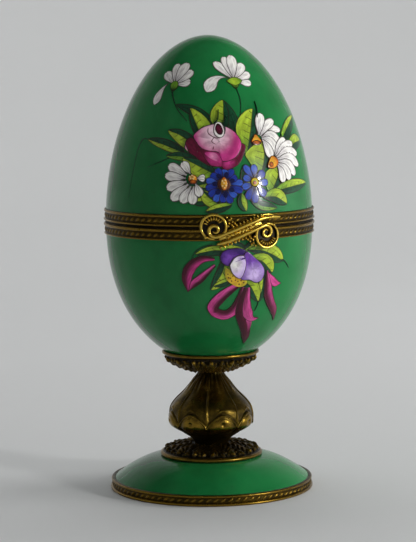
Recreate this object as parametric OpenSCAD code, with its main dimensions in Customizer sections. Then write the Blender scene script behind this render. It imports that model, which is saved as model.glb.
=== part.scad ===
// Porcelain trinket box: an egg that opens at its belt, on a turned brass stem and a domed foot.
// Millimetres, +Z up. The origin is on the table, at the centre of the foot.
// The clasp faces -Y and the hinge is at +Y.

/* [Egg] */
// Height of the seam between bowl and lid above the table
seam_z = 80; // [79:0.5:82]
// Outer radius of the porcelain at the seam
egg_r = 30.5; // [30:0.25:31]
// Height of the lid's porcelain above the seam
lid_h = 54.1; // [50:0.5:60]
// Depth of the bowl's porcelain below the seam
bowl_h = 43.5; // [43:0.25:44]
// Thickness of the porcelain walls
wall = 2.4; // [2:0.1:2.6]

/* [Bezels] */
// Height of each brass bezel along the belt
bezel_h = 3.7; // [3.2:0.1:4.2]
// Thickness of the bezel's plain band
bezel_t = 0.3; // [0.25:0.01:0.4]
// Gap between the two bezels when the lid is shut
seam_gap = 0.2; // [0.1:0.05:0.3]
// Height of the locating lip above the seam
lip_h = 1.2; // [0.6:0.1:1.6]

/* [Hinge and clasp] */
// Radius of the hinge pin
pin_r = 0.5; // [0.4:0.05:0.6]
// Radial clearance of the pin in the lid's knuckles
pin_clearance = 0.05; // [0.02:0.01:0.09]
// Outer radius of the hinge knuckles
knuckle_r = 1.25; // [1.1:0.05:1.4]
// Length of the whole hinge
hinge_w = 12.6; // [10:0.2:16]
// Angle at which the hinge's shoulders meet and stop the lid
open_angle = 102; // [95:1:110]
// Thickness of the clasp's scrolls
clasp_t = 1.4; // [1:0.1:1.6]

/* [Stem and foot] */
// Radius of the cup that holds the bowl
collar_r = 14.4; // [14:0.2:15]
// Radius of the knop at its widest
knop_r = 12.8; // [11.5:0.1:13.5]
// Radius of the flange on the foot
flange_r = 15.2; // [14.5:0.1:16]
// Outer radius of the foot's bezel, which rests on the table
foot_r = 30.2; // [29.5:0.1:31]
// Height of the foot's bezel
foot_bezel_h = 3.2; // [2.8:0.1:3.6]
// Radius of the tie bolt that holds the stem together
rod_r = 1.5; // [1.4:0.1:1.6]

/* [Hidden] */
$fn = 96;

// Egg curve: how full the lid's and the bowl's ends are, as two exponents each
lid_curve = [1.95, 1.92];
bowl_curve = [2.3, 1.83];
curve_steps = 28;

// Bezels: flange over the porcelain's edge, then beads up the band
flange_t = 0.5;
edge_h = seam_gap / 2 + flange_t + 0.05;
band_in = egg_r + 0.02;
band_out = band_in + bezel_t;
lip_out = egg_r - wall - 0.5;
lip_t = 0.6;
lip_clearance = 0.25;
lip_depth = 2.8;
belt_r = band_out + 0.3;
rope_r = band_out + 0.22;
edge_r = band_out + 0.18;
rope_bead = 0.62;
rope_z = 2.15;
lid_beads = [0.3, 0.46];
bowl_beads = [0.5, 0.25];

// Hinge: pin axis, knuckles and shoulders
hinge_y = belt_r + knuckle_r + 0.05;
knuckles = 5;
knuckle_gap = 0.15;
knuckle_w = (hinge_w - (knuckles - 1) * knuckle_gap) / knuckles;
shoulder_low = knuckle_r + 0.15;
shoulder_back = shoulder_low / tan(open_angle / 2);
leaf_in = rope_r + 0.01;
arm_t = 1.1;

// Clasp: an S made of two equal scrolls, each turned half round from the other
clasp_z = -1.05;
clasp_in = belt_r + 0.45;
clasp_out = clasp_in + clasp_t;
scroll_at = [-9, 1.45];
scroll_r = 3.85;
scroll_eye_r = 2.2;
rail_from = [-6.5, -1.3];
rail_bend = [6.4, 3.5];
rail_to = [12.3, 3.35];
rail_w = 1.2;
upper_pad = [0.62, 0.98];
lower_pad = [0.25, 0.7];
stud_r = 0.6;
stud_gap = 0.12;

// Stem and foot: heights of the joints between the pieces, from the table up
rod_clearance = 0.12;
seat_h = 42.2;
seat_top_z = seam_z - seat_h;
collar_top_z = seam_z - 38.85;
collar_rim_h = 1.05;
knop_top_z = 35.2;
flange_low_z = 9.6;
flange_rim_h = 1.2;
knop_low_z = 12.9;
dome_edge_r = foot_r - 1.3;
dome_edge_z = 0.7;
dome_t = 2.4;
floor_z = seat_top_z + 3.2;
washer_t = 0.6;
cushion_t = 0.6;
head_r = 3.2;
head_h = 1.7;
nut_r = 3.18;
nut_h = 2.4;

// Egg radius at height h from the seam, for an end of the given length, radius and curve
function egg_radius(h, len, r, curve) = r * pow(1 - pow(min(1, h / len), curve[0]), 1 / curve[1]);

// Points of one end of the egg between two heights from the seam, closer together near the tip
function egg_points(len, r, curve, h0, h1) = [
    for (i = [0 : curve_steps])
        let (a0 = asin(h0 / len), a1 = asin(h1 / len), h = len * sin(a0 + (a1 - a0) * i / curve_steps))
        [egg_radius(h, len, r, curve), h]
];

// The points of a list in the opposite order
function reversed(list) = [for (i = [len(list) - 1 : -1 : 0]) list[i]];

// A smooth curve through a list of points, with the given number of steps between each two
function smooth(p, steps) = [
    for (i = [0 : len(p) - 2])
        for (k = [0 : steps - 1])
            let (
                t = k / steps,
                a = p[max(0, i - 1)],
                b = p[i],
                c = p[i + 1],
                d = p[min(len(p) - 1, i + 2)]
            )
            0.5 * (2 * b + (c - a) * t + (2 * a - 5 * b + 4 * c - d) * t * t + (3 * b - a - 3 * c + d) * t * t * t),
    p[len(p) - 1]
];

// A plain turned ring between two radii and two heights
module ring(r_in, r_out, z0, z1) {
    rotate_extrude()
        translate([r_in, z0])
            square([r_out - r_in, z1 - z0]);
}

// A straight bar between two points of a flat drawing
module bar(a, b, w) {
    d = b - a;
    translate(a)
        rotate(atan2(d[1], d[0]))
            translate([0, -w / 2])
                square([norm(d), w]);
}

// Half of the belt, drawn upwards from the seam: a flange over the porcelain's edge,
// a band outside it, and three beads. flange_in is the inner radius of the flange, and
// beads holds the radii of the bead beside the seam and the bead at the far edge.
module bezel(flange_in, beads) {
    rotate_extrude()
        difference() {
            union() {
                translate([flange_in, seam_gap / 2])
                    square([band_out - flange_in, flange_t]);
                translate([band_in, seam_gap / 2])
                    square([bezel_t, bezel_h - seam_gap / 2]);
                translate([belt_r - beads[0], seam_gap / 2 + 0.25 + beads[0]])
                    circle(beads[0], $fn = 32);
                translate([rope_r - rope_bead, rope_z])
                    circle(rope_bead, $fn = 32);
                translate([edge_r - beads[1], bezel_h - beads[1]])
                    circle(beads[1], $fn = 32);
            }
            translate([0, seam_gap / 2 + flange_t])
                square([band_in, bezel_h * 2]);
        }
}

// One knuckle of the hinge, bored for the pin, with an arm that reaches the leaf above it
module knuckle(index, bore) {
    x0 = -hinge_w / 2 + index * (knuckle_w + knuckle_gap);
    difference() {
        union() {
            translate([x0, hinge_y, seam_z])
                rotate([0, 90, 0])
                    cylinder(h = knuckle_w, r = knuckle_r, $fn = 48);
            translate([x0, hinge_y - arm_t, seam_z + knuckle_r * 0.6])
                cube([knuckle_w, arm_t, shoulder_low - knuckle_r * 0.6 + 0.3]);
        }
        translate([x0 - 1, hinge_y, seam_z])
            rotate([0, 90, 0])
                cylinder(h = knuckle_w + 2, r = bore, $fn = 48);
    }
}

// A hinge leaf, drawn above the seam: a saddle soldered to the bezel, whose back edge is the stop,
// and every second knuckle from the given one
module hinge_leaf(first, bore) {
    difference() {
        translate([-hinge_w / 2, leaf_in - 2, seam_z + shoulder_low])
            cube([hinge_w, hinge_y + shoulder_back - leaf_in + 2, bezel_h - shoulder_low - 0.1]);
        translate([0, 0, seam_z])
            cylinder(h = bezel_h + 1, r = leaf_in + 0.02);
    }
    for (i = [first : 2 : knuckles - 1])
        knuckle(i, bore);
}

// What is drawn flat, cut from the wall of a tube round the belt, at the clasp's place
module on_belt(r_in, r_out) {
    difference() {
        intersection() {
            translate([0, 2 - r_in, seam_z + clasp_z])
                rotate([90, 0, 0])
                    linear_extrude(height = r_out - r_in + 6)
                        children();
            translate([0, 0, seam_z - 10])
                cylinder(h = 20, r = r_out);
        }
        translate([0, 0, seam_z - 11])
            cylinder(h = 22, r = r_in);
    }
}

// One scroll of the clasp: an open volute and the rail that leaves it.
// The pad behind the rail solders it to its own bezel; it runs between two fractions of the rail.
module clasp_half(pad) {
    on_belt(clasp_in, clasp_out)
        difference() {
            union() {
                translate(scroll_at)
                    circle(scroll_r);
                bar(rail_from, rail_bend, rail_w);
                bar(rail_bend, rail_to, rail_w);
                for (p = [rail_from, rail_bend, rail_to])
                    translate(p)
                        circle(rail_w * 0.55, $fn = 32);
            }
            translate(scroll_at)
                circle(scroll_eye_r);
        }
    run = rail_bend - rail_from;
    on_belt(belt_r + 0.01, clasp_in + 0.1)
        bar(rail_from + pad[0] * run, rail_from + pad[1] * run, rail_w * 0.8);
}

// Turns a clasp half about the middle of the clasp, seen from the front
module half_turn() {
    translate([0, 0, seam_z + clasp_z])
        rotate([0, 180, 0])
            translate([0, 0, -seam_z - clasp_z])
                children();
}

module lid_shell() {
    inner_len = lid_h - wall;
    color("mediumseagreen")
        translate([0, 0, seam_z])
            rotate_extrude()
                polygon(concat(
                    egg_points(lid_h, egg_r, lid_curve, edge_h, lid_h),
                    reversed(egg_points(inner_len, egg_r - wall, lid_curve, edge_h, inner_len))
                ));
}

module lid_bezel() {
    color("darkgoldenrod")
        translate([0, 0, seam_z])
            bezel(lip_out + lip_clearance, lid_beads);
}

module clasp_upper() {
    color("goldenrod")
        clasp_half(upper_pad);
}

module hinge_lid_leaf() {
    color("darkgoldenrod")
        hinge_leaf(1, pin_r + pin_clearance);
}

module bowl_shell() {
    inner_len = bowl_h - wall - 0.4;
    floor_h = seam_z - floor_z;
    color("mediumseagreen")
        difference() {
            translate([0, 0, seam_z])
                mirror([0, 0, 1])
                    rotate_extrude()
                        polygon(concat(
                            egg_points(bowl_h, egg_r, bowl_curve, edge_h, seat_h),
                            [[0, seat_h], [0, floor_h]],
                            reversed(egg_points(inner_len, egg_r - wall, bowl_curve, edge_h, floor_h))
                        ));
            translate([0, 0, seat_top_z - 1])
                cylinder(h = floor_z - seat_top_z + 2, r = rod_r + 0.3);
        }
}

module bowl_bezel() {
    color("darkgoldenrod")
        translate([0, 0, seam_z])
            mirror([0, 0, 1])
                bezel(lip_out + 0.02, bowl_beads);
}

module lip_ring() {
    color("goldenrod")
        ring(lip_out - lip_t, lip_out, seam_z - lip_depth, seam_z + lip_h);
}

module clasp_lower() {
    color("goldenrod")
        half_turn()
            clasp_half(lower_pad);
}

module catch_stud() {
    color("gold")
        rotate([0, 0, atan2(scroll_at[0], clasp_in)])
            translate([0, -rope_r - 0.01, seam_z - rope_z])
                rotate([90, 0, 0])
                    cylinder(h = clasp_in - rope_r - stud_gap, r = stud_r, $fn = 48);
}

module hinge_bowl_leaf() {
    color("darkgoldenrod")
        translate([0, 0, seam_z])
            mirror([0, 0, 1])
                translate([0, 0, -seam_z])
                    hinge_leaf(0, pin_r + 0.01);
}

module hinge_pin() {
    color("goldenrod")
        translate([-hinge_w / 2 - 0.3, hinge_y, seam_z])
            rotate([0, 90, 0])
                cylinder(h = hinge_w + 0.6, r = pin_r, $fn = 48);
}

module bowl_collar() {
    cup_gap = 0.05;
    cup_top_h = seam_z - collar_top_z;
    rim_low = collar_top_z - collar_rim_h;
    cup = [
        for (p = egg_points(bowl_h, egg_r, bowl_curve, cup_top_h, seat_h - 0.05))
            [p[0] + cup_gap, seam_z - p[1] - cup_gap]
    ];
    color("darkolivegreen")
        rotate_extrude()
            polygon(concat(
                cup,
                [
                    [rod_r + rod_clearance, seat_top_z - cup_gap],
                    [rod_r + rod_clearance, knop_top_z],
                    [4.2, knop_top_z],
                    [8.4, knop_top_z + 0.9],
                    [collar_r - 0.9, rim_low - 0.5],
                    [collar_r, rim_low],
                    [collar_r, collar_top_z]
                ]
            ));
}

module knop() {
    bore = rod_r + rod_clearance;
    side = smooth([
        [3.6, knop_top_z - 0.02],
        [4.3, 33.8],
        [5.8, 31.3],
        [knop_r * 0.6, 28.8],
        [knop_r * 0.8, 26.3],
        [knop_r * 0.96, 24.1],
        [knop_r, 21.8],
        [knop_r * 0.98, 20],
        [knop_r * 0.88, 18.8],
        [knop_r * 0.6, 16.4],
        [5.2, 14.6],
        [4.6, knop_low_z]
    ], 5);
    color("darkgoldenrod")
        rotate_extrude()
            polygon(concat([[bore, knop_top_z - 0.02]], side, [[bore, knop_low_z]]));
}

module foot_flange() {
    rim_top = flange_low_z + flange_rim_h;
    color("darkolivegreen")
        rotate_extrude()
            polygon([
                [rod_r + rod_clearance, flange_low_z],
                [flange_r, flange_low_z],
                [flange_r, rim_top],
                [flange_r - 0.9, rim_top + 0.5],
                [flange_r - 4.5, knop_low_z - 0.6],
                [6, knop_low_z - 0.02],
                [rod_r + rod_clearance, knop_low_z - 0.02]
            ]);
}

module foot_dome() {
    crown_r = flange_r - 1;
    crown_z = flange_low_z - 0.03;
    drop = crown_z - foot_bezel_h + 0.1;
    span = dome_edge_r - crown_r;
    // The dome falls as a quarter of a flattened ellipse from the crown to the edge
    outer = [for (i = [0 : 20]) let (t = i / 20) [crown_r + span * t, crown_z - drop * pow(t, 1.75)]];
    inner = [for (p = outer) [p[0] - 0.9, p[1] - dome_t]];
    color("mediumseagreen")
        difference() {
            rotate_extrude()
                polygon(concat(
                    [[0, crown_z]],
                    outer,
                    [[dome_edge_r, dome_edge_z], [dome_edge_r - 2.4, dome_edge_z]],
                    reversed(inner),
                    [[0, crown_z - dome_t]]
                ));
            cylinder(h = crown_z + 1, r = rod_r + 0.3);
        }
}

module foot_bezel() {
    band = dome_edge_r + 0.03;
    color("darkgoldenrod")
        rotate_extrude()
            union() {
                translate([dome_edge_r - 2.6, 0])
                    square([foot_r - dome_edge_r + 2.3, dome_edge_z - 0.05]);
                translate([band, 0])
                    square([0.6, foot_bezel_h - 0.3]);
                translate([foot_r - 0.45, 0.45])
                    circle(0.45, $fn = 32);
                translate([foot_r - 0.63, 1.7])
                    circle(0.6, $fn = 32);
                translate([band + 0.38, foot_bezel_h - 0.3])
                    circle(0.3, $fn = 32);
            }
}

module tie_bolt() {
    head_z = floor_z + cushion_t + washer_t;
    rod_low = 1.6;
    color("goldenrod")
        rotate_extrude()
            polygon(concat(
                [[0, rod_low], [rod_r, rod_low], [rod_r, head_z + 0.02], [head_r, head_z + 0.02]],
                [for (i = [0 : 12]) let (a = 90 * i / 12) [head_r * cos(a), head_z + 0.5 + (head_h - 0.5) * sin(a)]]
            ));
}

module bolt_washer() {
    color("darkgoldenrod")
        ring(rod_r + 0.15, 4.5, floor_z + cushion_t + 0.01, floor_z + cushion_t + washer_t);
}

module bowl_cushion() {
    color("saddlebrown")
        ring(rod_r + 0.25, 5.2, floor_z + 0.01, floor_z + cushion_t);
}

module foot_cushion() {
    top = flange_low_z - 0.03 - dome_t;
    color("saddlebrown")
        ring(rod_r + 0.25, 7, top - cushion_t, top - 0.01);
}

module nut_washer() {
    top = flange_low_z - 0.03 - dome_t - cushion_t;
    color("darkgoldenrod")
        ring(rod_r + 0.15, 5.5, top - washer_t, top - 0.01);
}

module tie_nut() {
    top = flange_low_z - 0.03 - dome_t - cushion_t - washer_t;
    color("goldenrod")
        translate([0, 0, top - nut_h])
            difference() {
                cylinder(h = nut_h - 0.01, r = nut_r, $fn = 6);
                translate([0, 0, -1])
                    cylinder(h = nut_h + 2, r = rod_r + 0.02, $fn = 48);
            }
}

lid_shell();
lid_bezel();
clasp_upper();
hinge_lid_leaf();
bowl_shell();
bowl_bezel();
lip_ring();
clasp_lower();
catch_stud();
hinge_bowl_leaf();
hinge_pin();
bowl_collar();
knop();
foot_flange();
foot_dome();
foot_bezel();
tie_bolt();
bolt_washer();
bowl_cushion();
foot_cushion();
nut_washer();
tie_nut();
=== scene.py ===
import bpy
import numpy as np
from mathutils import Matrix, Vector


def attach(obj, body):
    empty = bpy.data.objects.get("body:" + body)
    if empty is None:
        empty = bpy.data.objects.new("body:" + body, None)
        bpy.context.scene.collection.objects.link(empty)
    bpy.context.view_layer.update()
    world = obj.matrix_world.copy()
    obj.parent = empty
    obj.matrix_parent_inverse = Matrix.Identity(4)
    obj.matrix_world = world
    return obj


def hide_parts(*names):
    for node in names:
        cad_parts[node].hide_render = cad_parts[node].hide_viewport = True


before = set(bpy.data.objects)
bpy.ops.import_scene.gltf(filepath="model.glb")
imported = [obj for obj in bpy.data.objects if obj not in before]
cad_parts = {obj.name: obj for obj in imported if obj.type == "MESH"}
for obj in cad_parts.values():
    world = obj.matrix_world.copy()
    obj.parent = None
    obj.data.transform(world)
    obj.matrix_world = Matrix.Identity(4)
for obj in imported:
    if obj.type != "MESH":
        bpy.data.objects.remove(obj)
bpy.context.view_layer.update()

# Sizes in millimetres, the same as the frame's
MM = 0.001
SEAM = 80.0
EGG_R = 30.5
LID_H = 54.1
BOWL_H = 43.5
WALL = 2.4
BAND = 30.82
BELT = 31.12
CLASP_IN = 31.57
CLASP_Z = SEAM - 1.05
TURN = 2 * np.pi


def colour(red, green, blue):
    """A colour given as 0 to 255 on a screen, in the linear values that shading uses."""
    c = np.array([red, green, blue]) / 255
    return tuple(np.where(c <= 0.04045, c / 12.92, ((c + 0.055) / 1.055) ** 2.4))


# ---------------------------------------------------------------- meshes


class Solid:
    """One piece's points, faces and point values, gathered from grids of points."""

    def __init__(self):
        self.points, self.values, self.faces, self.count = [], {}, [], 0

    def grid(self, points, rows=False, columns=False, caps=False, **values):
        """Joins neighbouring points of a grid by squares. rows and columns say whether the last row or
        column joins the first. A first or last row that is all one point becomes a pole, and caps close
        open tube ends."""
        n, m = points.shape[:2]
        ids = np.arange(n * m).reshape(n, m)
        for row in (0, n - 1):
            if not rows and np.ptp(points[row], axis=0).max() < 1e-7:
                ids[row] = ids[row, 0]
        a = ids if rows else ids[:-1]
        b = np.roll(ids, -1, 0) if rows else ids[1:]
        if columns:
            quads = np.stack([a, np.roll(a, -1, 1), np.roll(b, -1, 1), b], -1)
        else:
            quads = np.stack([a[:, :-1], a[:, 1:], b[:, 1:], b[:, :-1]], -1)
        quads = quads.reshape(-1, 4)
        low, high = quads[:, 0] == quads[:, 1], quads[:, 2] == quads[:, 3]
        faces = quads[~low & ~high].tolist() + quads[low][:, [0, 2, 3]].tolist() + quads[high][:,
                                                                                               :3].tolist()
        if caps:
            faces += [ids[0][::-1].tolist(), ids[-1].tolist()]
        self.store(points, faces, values)

    def slab(self, top, bottom, **values):
        """A closed plate between two grids of the same shape, joined along their borders."""
        n, m = top.shape[:2]
        ids = np.arange(n * m).reshape(n, m)
        over = np.stack([ids[:-1, :-1], ids[:-1, 1:], ids[1:, 1:], ids[1:, :-1]], -1).reshape(-1, 4)
        border = np.concatenate([ids[0, :-1], ids[:-1, -1], ids[-1, :0:-1], ids[:0:-1, 0]])
        after = np.roll(border, -1)
        side = np.stack([border, border + n * m, after + n * m, after], -1)
        faces = np.concatenate([over, over[:, ::-1] + n * m, side]).tolist()
        doubled = {k: np.concatenate([np.broadcast_to(v, (n, m) + np.shape(v)[2:])] * 2) for k,
                   v in values.items()}
        self.store(np.concatenate([top, bottom]), faces, doubled)

    def store(self, points, faces, values):
        shape = points.shape[:2]
        self.points.append(points.reshape(-1, 3))
        for name, v in values.items():
            v = np.broadcast_to(v, shape + np.shape(v)[2:])
            self.values.setdefault(name, []).append(v.reshape(shape[0] * shape[1], -1))
        self.faces += [[i + self.count for i in f] for f in faces]
        self.count += shape[0] * shape[1]

    def make(self, name, body, finish, slot, replaces=(), sharp=40):
        """Turns what was gathered into an object in metres that rides on a body."""
        points = np.concatenate(self.points)
        used = np.unique(np.concatenate([np.array(f) for f in self.faces]))
        place = np.full(len(points), -1)
        place[used] = np.arange(len(used))
        mesh = bpy.data.meshes.new(name)
        mesh.from_pydata((points[used] * MM).tolist(), [], [place[f].tolist() for f in self.faces])
        for key, parts in self.values.items():
            v = np.concatenate(parts)[used].astype(np.float32)
            kind, field = {1: ("FLOAT", "value"), 3: ("FLOAT_VECTOR", "vector"),
                           4: ("FLOAT_COLOR", "color")}[v.shape[1]]
            mesh.attributes.new(key, kind, "POINT").data.foreach_set(field, v.ravel())
        mesh.shade_smooth()
        mesh.set_sharp_from_angle(angle=np.radians(sharp))
        mesh.materials.append(finish)
        piece = bpy.data.objects.new(name, mesh)
        bpy.context.scene.collection.objects.link(piece)
        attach(piece, body)
        if replaces:
            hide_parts(*replaces)


def around(radius, height, angle):
    """A point at a radius and height, turned by an angle from the front towards the right."""
    r, z, a = np.broadcast_arrays(radius, height, angle)
    return np.stack([r * np.sin(a), -r * np.cos(a), z], -1)


def turns(count):
    """A row of angles evenly round the upright axis."""
    return (np.arange(count) * TURN / count)[None]


def turned(profile, count):
    """The grid of a profile of (radius, height) carried round the upright axis."""
    p = np.array(profile, float)
    return around(p[:, :1], p[:, 1:], turns(count))


def lengths(line):
    """Length along a line of points, at each of them."""
    return np.concatenate([[0], np.cumsum(np.hypot(*np.diff(line, axis=0).T))])


def directions(line):
    """Unit direction of a line of points, at each of them."""
    slope = np.gradient(line, axis=0)
    return slope / np.linalg.norm(slope, axis=1)[:, None]


def smooth_line(points, count, closed=False):
    """Points on a smooth curve through the given ones: between two neighbours, the cubic whose slope at
    each is half the step between the points on its two sides."""
    p = np.array(points, float)
    if closed:
        p = np.concatenate([p[-1:], p, p[:2]])
    else:
        p = np.concatenate([2 * p[:1] - p[1:2], p, 2 * p[-1:] - p[-2:-1]])
    spans = len(p) - 3
    t = np.linspace(0, spans, count, endpoint=not closed)
    k = np.minimum(t.astype(int), spans - 1)
    t = (t - k)[:, None]
    a, b, c, d = p[k], p[k + 1], p[k + 2], p[k + 3]
    return b + 0.5 * t * (c - a + t * (2 * a - 5 * b + 4 * c - d + t * (3 * (b - c) + d - a)))


def ramp(x, low, high):
    """0 below low, 1 above high and an even S-curve between."""
    t = np.clip((x - low) / (high - low), 0, 1)
    return t * t * (3 - 2 * t)


def egg_radius(height):
    """Radius of the porcelain at a height from the seam: the radius at the seam, times one minus the
    height's share of that end's length to one power, to another power."""
    up = height >= 0
    share = np.clip(np.abs(height) / np.where(up, LID_H, BOWL_H), 0, 1)
    return EGG_R * (1 - share ** np.where(up, 1.95, 2.3)) ** (1 / np.where(up, 1.92, 1.83))


# Meridian of the egg from the bowl's tip to the lid's: radius, height, length of arc from the seam, normal
lean = np.linspace(-np.pi / 2, np.pi / 2, 4001)
egg_h = np.where(lean >= 0, LID_H, BOWL_H) * np.sin(lean)
egg_r = egg_radius(egg_h)
egg_arc = np.concatenate([[0], np.cumsum(np.hypot(np.diff(egg_r), np.diff(egg_h)))])
egg_arc -= np.interp(0, egg_h, egg_arc)
slope = np.stack([np.gradient(egg_h, egg_arc), -np.gradient(egg_r, egg_arc)], 1)
egg_normal = slope / np.linalg.norm(slope, axis=1)[:, None]


def on_egg(angle, arc, lift):
    """A point on the egg at an angle and a length of arc up from the seam, lifted along the normal."""
    r = np.interp(arc, egg_arc, egg_r) + lift * np.interp(arc, egg_arc, egg_normal[:, 0])
    h = np.interp(arc, egg_arc, egg_h) + lift * np.interp(arc, egg_arc, egg_normal[:, 1])
    return around(r, SEAM + h, angle)


# ---------------------------------------------------------------- shading


class Term:
    """One value in a material. Python's operators on it add Math nodes."""

    def __init__(self, finish, socket):
        self.finish, self.socket = finish, socket

    def maths(self, operation, *terms):
        return self.finish.node("ShaderNodeMath", {"operation": operation},
                                {i: t for i, t in enumerate(terms)})

    def __add__(self, other):
        return self.maths("ADD", self, other)

    def __mul__(self, other):
        return self.maths("MULTIPLY", self, other)

    def __sub__(self, other):
        return self.maths("SUBTRACT", self, other)

    def __rsub__(self, other):
        return self.maths("SUBTRACT", other, self)

    __radd__, __rmul__ = __add__, __mul__

    def of(self, operation, *others):
        return self.maths(operation, self, *others)

    def between(self, low, high):
        """0 at low and 1 at high, an S-curve between them, and held beyond them."""
        settings = {"interpolation_type": "SMOOTHSTEP"}
        return self.finish.node("ShaderNodeMapRange", settings, {0: self, 1: low, 2: high})


class Finish:
    """A material under construction."""

    def __init__(self, name):
        self.material = bpy.data.materials.new(name)
        self.material.use_nodes = True
        self.tree = self.material.node_tree
        self.shader = self.tree.nodes["Principled BSDF"]
        self.place = self.node("ShaderNodeTexCoord", {}, {}, "Object")

    def node(self, kind, settings, sockets, output=0):
        """Adds a node: its type, then its settings, then its sockets' values or links. Gives one output."""
        n = self.tree.nodes.new(kind)
        for key, value in settings.items():
            setattr(n, key, value)
        self.join(n, sockets)
        return Term(self, n.outputs[output])

    def join(self, n, sockets):
        for key, value in sockets.items():
            if isinstance(value, Term):
                self.tree.links.new(value.socket, n.inputs[key])
            elif isinstance(value, tuple) and len(value) == 3 and n.inputs[key].type == "RGBA":
                n.inputs[key].default_value = (*value, 1)
            else:
                n.inputs[key].default_value = value

    def noise(self, scale, detail, roughness, stretch=(1, 1, 1)):
        """Smooth noise on the piece's own millimetres; scale is in waves per millimetre."""
        sockets = {0: self.place, 1: tuple(s / MM for s in stretch)}
        spread = self.node("ShaderNodeVectorMath", {"operation": "MULTIPLY"}, sockets)
        sockets = {"Vector": spread, "Scale": scale, "Detail": detail, "Roughness": roughness}
        return self.node("ShaderNodeTexNoise", {}, sockets)

    def value(self, name, output="Fac"):
        return self.node("ShaderNodeAttribute", {"attribute_name": name}, {}, output)

    def mix(self, factor, first, second, blend="MIX"):
        settings = {"data_type": "RGBA", "blend_type": blend}
        return self.node("ShaderNodeMix", settings, {0: factor, 6: first, 7: second}, 2)

    def bump(self, height, distance, strength=1.0):
        """Raises the surface by a height given in the stated distance, in millimetres."""
        return self.node("ShaderNodeBump", {}, {"Height": height, "Distance": distance * MM,
                                                "Strength": strength})

    def done(self, **sockets):
        self.join(self.shader, {k.replace("_", " "): v for k, v in sockets.items()})
        return self.material


def glaze(name):
    """Green glaze outside and white glaze inside, by the piece's own 'inside' value."""
    f = Finish(name)
    inside = f.value("inside")
    cloud = f.noise(0.055, 3, 0.55).between(0.3, 0.7)
    flow = f.noise(0.16, 4, 0.6, (1, 1, 0.55)).between(0.32, 0.7)
    speck = f.noise(1.5, 2, 0.5).between(0.66, 0.74)
    green = f.mix(cloud, colour(22, 100, 50), colour(28, 116, 60))
    green = f.mix(flow * 0.25, green, colour(38, 130, 70))
    green = f.mix(speck * 0.2, green, colour(12, 62, 36))
    white = f.mix(cloud * 0.5, colour(240, 238, 230), colour(228, 226, 216))
    wave = f.noise(0.11, 2, 0.5) + f.noise(0.9, 2, 0.4) * 0.06
    f.shader.inputs["Specular IOR Level"].default_value = 0.15
    return f.done(
        Base_Color=f.mix(inside, green, white),
        Roughness=flow * 0.06 + 0.16,
        Coat_Weight=0.16,
        Coat_Roughness=0.04,
        Normal=f.bump(wave, 0.1, 0.18),
    )


def brass(name, dark, middle, bright, rough, tarnish, base=0.0):
    """Brass whose hollows keep a dark patina. Pieces with carved relief say how high each point is; base
    is the height for pieces that say nothing."""
    f = Finish(name)
    relief = f.value("relief") + base
    grime = f.noise(0.35, 4, 0.65)
    fine = f.noise(2.2, 3, 0.6)
    rubbed = (relief + (grime - 0.5) * 0.9 + (fine - 0.5) * 0.35).between(0.25, 0.95)
    hollow = (relief * 1.5 + (grime - 0.5) * 0.5).between(-0.1, 0.6)
    spots = (fine * 0.6 + grime * 0.4).between(0.56, 0.66) * tarnish
    tone = f.mix(hollow, dark, middle)
    tone = f.mix(rubbed, tone, bright)
    tone = f.mix(spots, tone, tuple(0.5 * (a + b) for a, b in zip(dark, middle)))
    return f.done(
        Base_Color=tone,
        Metallic=hollow * 0.25 + 0.72 - spots * 0.2,
        Roughness=rough + (1 - rubbed) * 0.16 + spots * 0.12,
        Normal=f.bump(fine + f.noise(6, 2, 0.5) * 0.4, 0.05, 0.6),
    )


def leather():
    """Brown leather with a fine grain and small pores."""
    f = Finish("leather")
    grain = f.noise(2.6, 3, 0.6)
    pores = f.node("ShaderNodeTexVoronoi", {}, {"Vector": f.place, "Scale": 1500.0}, "Distance")
    tone = f.mix(grain.between(0.35, 0.65), colour(84, 52, 30), colour(118, 78, 48))
    return f.done(Base_Color=tone, Roughness=0.74 - grain * 0.12, Normal=f.bump(grain + pores * 0.6, 0.12))


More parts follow.
